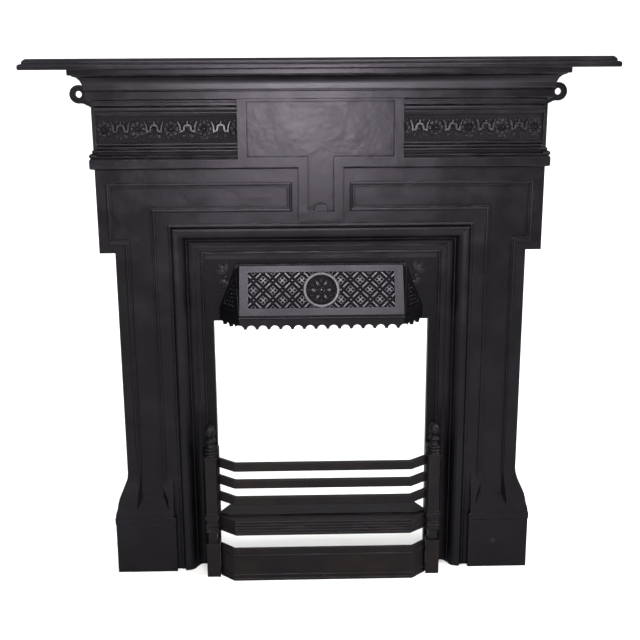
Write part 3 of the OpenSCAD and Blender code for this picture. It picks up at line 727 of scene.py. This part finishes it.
def panel_window(sizes):
    """The space inside the lattice panel, with the medallion's round taken out of it."""
    middle = (sizes.panel_low + sizes.panel_high) / 2
    # The lattice runs this far under the medallion's rim
    under_rim = 3 * MM
    deselect()
    bpy.ops.mesh.primitive_cube_add(size=1, location=(0, middle, 0))
    bpy.context.object.scale = (2 * sizes.panel_half - MM, sizes.panel_high - sizes.panel_low - MM, 30 * MM)
    window = made("window")
    deselect()
    bpy.ops.mesh.primitive_cylinder_add(
        vertices=64, radius=sizes.medallion - under_rim, depth=50 * MM, location=(0, middle, 0)
    )
    round_hole = made("round_hole")
    modify(window, "BOOLEAN", operation="DIFFERENCE", solver="EXACT", object=round_hole)
    bpy.data.objects.remove(round_hole)
    return window


class FIREPLACE_OT_hood_lattice(bpy.types.Operator):
    """Diamonds, straps and bosses of the hood's sunk panel"""

    bl_idname = "fireplace.hood_lattice"
    bl_label = "Hood Lattice"

    def execute(self, context):
        sizes = context.scene.fireplace_hood
        middle = (sizes.panel_low + sizes.panel_high) / 2
        half_x, step_y = sizes.lattice_x / 2, sizes.lattice_y
        # Enough columns and rows to run past the panel's edges, where the window cuts them off
        columns = int(sizes.panel_half / half_x) + 1
        rows = 2
        cells, ties, pips = [], [], []
        for i in range(-columns, columns + 1):
            for j in range(-rows, rows + 1):
                x, y = i * half_x, middle + j * step_y
                if (i + j) % 2 == 0:
                    pips.append(at(x, y))
                    continue
                cells.append(at(x, y))
                for side in (-1, 1):
                    slant = math.radians(90 + side * 45)
                    ties.append(at(x + side * half_x / 2, y + step_y / 2, slant))
        window = panel_window(sizes)
        parts = copies(diamond(11.2 * MM), cells)
        parts += copies(strap(18.2 * MM, 4.8 * MM), ties)
        parts += copies(boss("pip", 3 * MM, 3.6 * MM), pips)
        o = merged("hood_lattice", parts)
        modify(o, "BOOLEAN", operation="INTERSECT", solver="EXACT", object=window)
        bpy.data.objects.remove(window)
        merged("hood_lattice", [o], on_slope(0, 0, -sizes.panel_sink - LIFT))
        settle(o, "blacked_iron", CRISP)
        return {"FINISHED"}


class FIREPLACE_OT_medallion(bpy.types.Operator):
    """Ring and six-leaved flower in the middle of the hood"""

    bl_idname = "fireplace.medallion"
    bl_label = "Medallion"

    def execute(self, context):
        sizes = context.scene.fireplace_hood
        r = sizes.medallion
        rim = band("rim", r, 7.4 * MM, 5.6 * MM)
        bead = ring("bead", r * 0.76, 0.7 * MM, 2 * MM, 48)
        petals = copies(leaf("petal", r * 0.50, r * 0.27, 3 * MM, tip=0.35), fan(6, r * 0.22))
        buds = copies(leaf("bud", r * 0.30, r * 0.13, 2.4 * MM), fan(6, r * 0.45, 0.5))
        heart = ring("heart", r * 0.15, 1.2 * MM, 2.6 * MM, 20)
        pip = boss("pip", 3.6 * MM, 5.2 * MM)
        middle = (sizes.panel_low + sizes.panel_high) / 2
        parts = [rim, bead, heart, pip] + petals + buds
        o = merged("hood_medallion", parts, on_slope(0, middle, -sizes.panel_sink))
        settle(o, "blacked_iron")
        return {"FINISHED"}


def well_inside(point, corners, margin):
    """Whether a point lies at least a margin inside a triangle whose corners run anticlockwise."""
    for k in range(3):
        start = corners[k]
        along = (corners[(k + 1) % 3] - start).normalized()
        if along.x * (point[1] - start.y) - along.y * (point[0] - start.x) < margin:
            return False
    return True


def cheek_frame(corners):
    """A flat triangular border with these three corners."""
    deselect()
    bpy.ops.mesh.primitive_circle_add(vertices=3, radius=1, fill_type="NGON", location=(0, 0, 0))
    o = made("cheek_frame")
    for v, corner in zip(o.data.vertices, corners):
        v.co = (corner[0], corner[1], 0)
    edit(o, "FACE", lambda c, n: True)
    bpy.ops.mesh.normals_make_consistent(inside=False)
    bpy.ops.mesh.inset(thickness=9.5 * MM)
    bpy.ops.mesh.delete(type="FACE")
    done()
    modify(o, "SOLIDIFY", thickness=3 * MM, offset=0.0)
    return o


class FIREPLACE_OT_cheeks(bpy.types.Operator):
    """Bordered triangles with rows of dots on the two canted sides of the hood"""

    bl_idname = "fireplace.cheeks"
    bl_label = "Hood Cheeks"

    def execute(self, context):
        sizes = context.scene.fireplace_hood
        foot = on_slope(0, 0).translation
        front = Vector((sizes.panel_half + 19 * MM, foot.y, foot.z))
        back = Vector((HOOD_HIGH.x, HOOD_HIGH.y, foot.z))
        top = Vector((sizes.panel_half + 27 * MM, HOOD_HIGH.y, foot.z + sizes.slope_rise))
        for side, name in ((-1, "hood_cheek_left"), (1, "hood_cheek_right")):
            a, b, c = [Vector((side * v.x, v.y, v.z)) for v in (front, back, top)]
            along = (b - a).normalized()
            normal = along.cross(c - a).normalized() * side
            up = normal.cross(along) * side
            wide, tall, tip = (b - a).length, (c - a).dot(up), (c - a).dot(along)
            frame_corners = ((1.5 * MM, 2 * MM), (wide - 2 * MM, 2 * MM), (tip, tall - 3 * MM))
            border = cheek_frame(frame_corners)
            # Rows of dots, every other row shifted by half a step
            step = wide * 0.13
            rows = [
                (wide * 0.27 + step * (i + (j % 2) / 2), 16 * MM + 8.5 * MM * j)
                for j in range(6) for i in range(5)
            ]
            corners = [Vector((0, 0)), Vector((wide, 0)), Vector((tip, tall))]
            spots = [at(*p) for p in rows if well_inside(p, corners, 12.5 * MM)]
            dots = copies(boss("dot", 2.6 * MM, 2.4 * MM), spots)
            basis = Matrix((along, up, normal)).transposed().to_4x4()
            o = merged(name, [border] + dots, Matrix.Translation(a) @ basis)
            settle(o, "blacked_iron", CRISP)
        return {"FINISHED"}


class FIREPLACE_OT_spandrels(bpy.types.Operator):
    """Sprays of leaves on the register plate beside the head of the hood"""

    bl_idname = "fireplace.spandrels"
    bl_label = "Spandrel Leaves"

    def execute(self, context):
        enlarge = Matrix.Scale(1.2, 4)
        face_room = Matrix.Rotation(math.pi / 2, 4, "X")
        stem_line = [(1, -12), (-4, -26), (-9, -40), (-9, -50), (-4, -56)]
        for side, name in ((-1, "spandrel_leaf_left"), (1, "spandrel_leaf_right")):
            high_leaves = copies(
                leaf("high_leaf", 24 * MM, 12 * MM, 1.6 * MM, tip=0.8),
                [at(MM, 0, math.radians(a)) for a in (12, 52, 94)],
            )
            low_leaves = copies(
                leaf("low_leaf", 19 * MM, 11 * MM, 1.6 * MM, tip=0.8),
                [at(-MM, -13 * MM, math.radians(a)) for a in (-18, -56, -92)],
            )
            eye = boss("eye", 4 * MM, 2 * MM)
            eye.matrix_world = at(MM, -7 * MM)
            stem = scroll("stem", [(x * MM, y * MM) for x, y in stem_line], 1.4 * MM, (1.0, 0.6))
            place = Matrix.Translation((side * 211 * MM, HOOD_HIGH.y + LIFT, HOOD_HIGH.z - 22 * MM))
            mirror = Matrix.Scale(side, 4, (1, 0, 0))
            parts = high_leaves + low_leaves + [eye, stem]
            o = merged(name, parts, place @ enlarge @ mirror @ face_room)
            settle(o, "blacked_iron")
        return {"FINISHED"}


# ---- Castings and stage ----


class FIREPLACE_OT_castings(bpy.types.Operator):
    """Black-leaded finishes on the castings of the frame"""

    bl_idname = "fireplace.castings"
    bl_label = "Casting Finishes"

    def execute(self, context):
        slots = {"front_grate": "fireside_iron", "ash_pan_cover": "fireside_iron"}
        for name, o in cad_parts.items():
            finish = material(slots.get(name, "blacked_iron"))
            for slot in o.material_slots:
                slot.material = finish
        return {"FINISHED"}


def softbox(name, place, target, width, height, power, tint):
    """A rectangular lamp that faces a point."""
    deselect()
    bpy.ops.object.light_add(type="AREA", location=place)
    lamp = bpy.context.object
    lamp.name = name
    lamp.rotation_euler = (Vector(target) - Vector(place)).to_track_quat("-Z", "Y").to_euler()
    lamp.data.shape = "RECTANGLE"
    lamp.data.size = width
    lamp.data.size_y = height
    lamp.data.energy = power
    lamp.data.color = linear(tint)[:3]


class FIREPLACE_OT_stage(bpy.types.Operator):
    """Pale floor that sweeps up behind, soft lights and the camera"""

    bl_idname = "fireplace.stage"
    bl_label = "Stage"

    def execute(self, context):
        stage = context.scene.fireplace_stage
        face = SURROUND_HIGH.y - context.scene.fireplace_frieze.jamb_out
        # The floor runs back a good way and then turns up into the backdrop, in metres
        wide, deep, back, rise, sweep = 16.0, 10.0, 4.0, 6.0, 1.6
        near = 0.1
        deselect()
        bpy.ops.mesh.primitive_plane_add(size=1, location=(0, back - deep / 2, CAD_BOX[0][2]))
        bpy.context.object.scale = (wide, deep, 1)
        floor = made("floor")
        edit(floor, "EDGE", lambda a, b: min(a.y, b.y) > back - near)
        bpy.ops.mesh.extrude_region_move(TRANSFORM_OT_translate={"value": (0, 0, rise)})
        done()
        edit(floor, "EDGE", lambda a, b: min(a.y, b.y) > back - near and max(a.z, b.z) < near)
        bpy.ops.mesh.bevel(offset=sweep, segments=16, affect="EDGES")
        done()
        pick(floor)
        bpy.ops.object.shade_smooth()
        floor.data.materials.append(studio_paint())

        deselect()
        turn = Matrix.Rotation(-stage.yaw, 4, "Z") @ Matrix.Rotation(math.pi / 2 - stage.pitch, 4, "X")
        turn = turn @ Matrix.Rotation(-stage.roll, 4, "Z")
        bpy.ops.object.camera_add(
            location=(stage.camera_x, face - stage.camera_out, stage.camera_up), rotation=turn.to_euler()
        )
        camera = context.object
        camera.data.lens = stage.lens
        camera.data.sensor_width = 36
        context.scene.camera = camera

        # Each lamp's name, place, aim, width and height in metres, watts and tint
        for lamp in (
            ("near_camera", (-0.04, -2.5, 1.03), (0, 0, 1.05), 0.45, 0.6, 53, "#fffdfc"),
            ("high_front", (0.0, -2.3, 2.95), (0, 0, 0.75), 1.5, 0.9, 132, "#fffdfd"),
            ("window_right", (2.5, -1.1, 1.7), (0.2, 0, 0.7), 1.2, 1.4, 125, "#fcfcff"),
            ("soft_left", (-2.1, -2.0, 1.5), (0, 0, 0.7), 1.0, 1.4, 42, "#fffdfc"),
            ("ceiling", (0, 1.4, 3.6), (0, 1.4, 0), 4.5, 3.5, 95, "#ffffff"),
            ("backdrop_wash", (0, 2.2, 3.6), (0, 4.2, 0.8), 6.0, 1.5, 120, "#ffffff"),
        ):
            softbox(*lamp)
        world = context.scene.world or bpy.data.worlds.new("World")
        context.scene.world = world
        world.use_nodes = True
        sky = world.node_tree.nodes["Background"].inputs
        sky["Color"].default_value = linear("#eceef2")
        sky["Strength"].default_value = 0.28
        context.scene.view_settings.view_transform = "Standard"
        return {"FINISHED"}


class FIREPLACE_PT_panel(bpy.types.Panel):
    bl_label = "Fireplace"
    bl_idname = "FIREPLACE_PT_panel"
    bl_space_type = "VIEW_3D"
    bl_region_type = "UI"
    bl_category = "Fireplace"

    def draw(self, context):
        scene = context.scene
        for group, operators in STEPS:
            box = self.layout.box()
            settings = getattr(scene, group)
            for key in settings.__annotations__:
                box.prop(settings, key)
            for operator in operators:
                box.operator(operator.bl_idname)


STEPS = (
    ("fireplace_finish", (FIREPLACE_OT_castings,)),
    ("fireplace_frieze", (FIREPLACE_OT_frieze,)),
    (
        "fireplace_hood",
        (FIREPLACE_OT_hood_lattice, FIREPLACE_OT_medallion, FIREPLACE_OT_cheeks, FIREPLACE_OT_spandrels),
    ),
    ("fireplace_stage", (FIREPLACE_OT_stage,)),
)
GROUPS = (
    ("fireplace_finish", FinishSettings),
    ("fireplace_frieze", FriezeSettings),
    ("fireplace_hood", HoodSettings),
    ("fireplace_stage", StageSettings),
)
CLASSES = (
    [group for _, group in GROUPS]
    + [operator for _, operators in STEPS for operator in operators]
    + [FIREPLACE_PT_panel]
)


def register():
    for c in CLASSES:
        bpy.utils.register_class(c)
    for name, group in GROUPS:
        setattr(bpy.types.Scene, name, bpy.props.PointerProperty(type=group))


def unregister():
    for name, _ in GROUPS:
        delattr(bpy.types.Scene, name)
    for c in reversed(CLASSES):
        bpy.utils.unregister_class(c)


def main():
    register()
    bpy.ops.fireplace.castings()
    bpy.ops.fireplace.frieze()
    bpy.ops.fireplace.hood_lattice()
    bpy.ops.fireplace.medallion()
    bpy.ops.fireplace.cheeks()
    bpy.ops.fireplace.spandrels()
    bpy.ops.fireplace.stage()


if __name__ == "__main__":
    main()
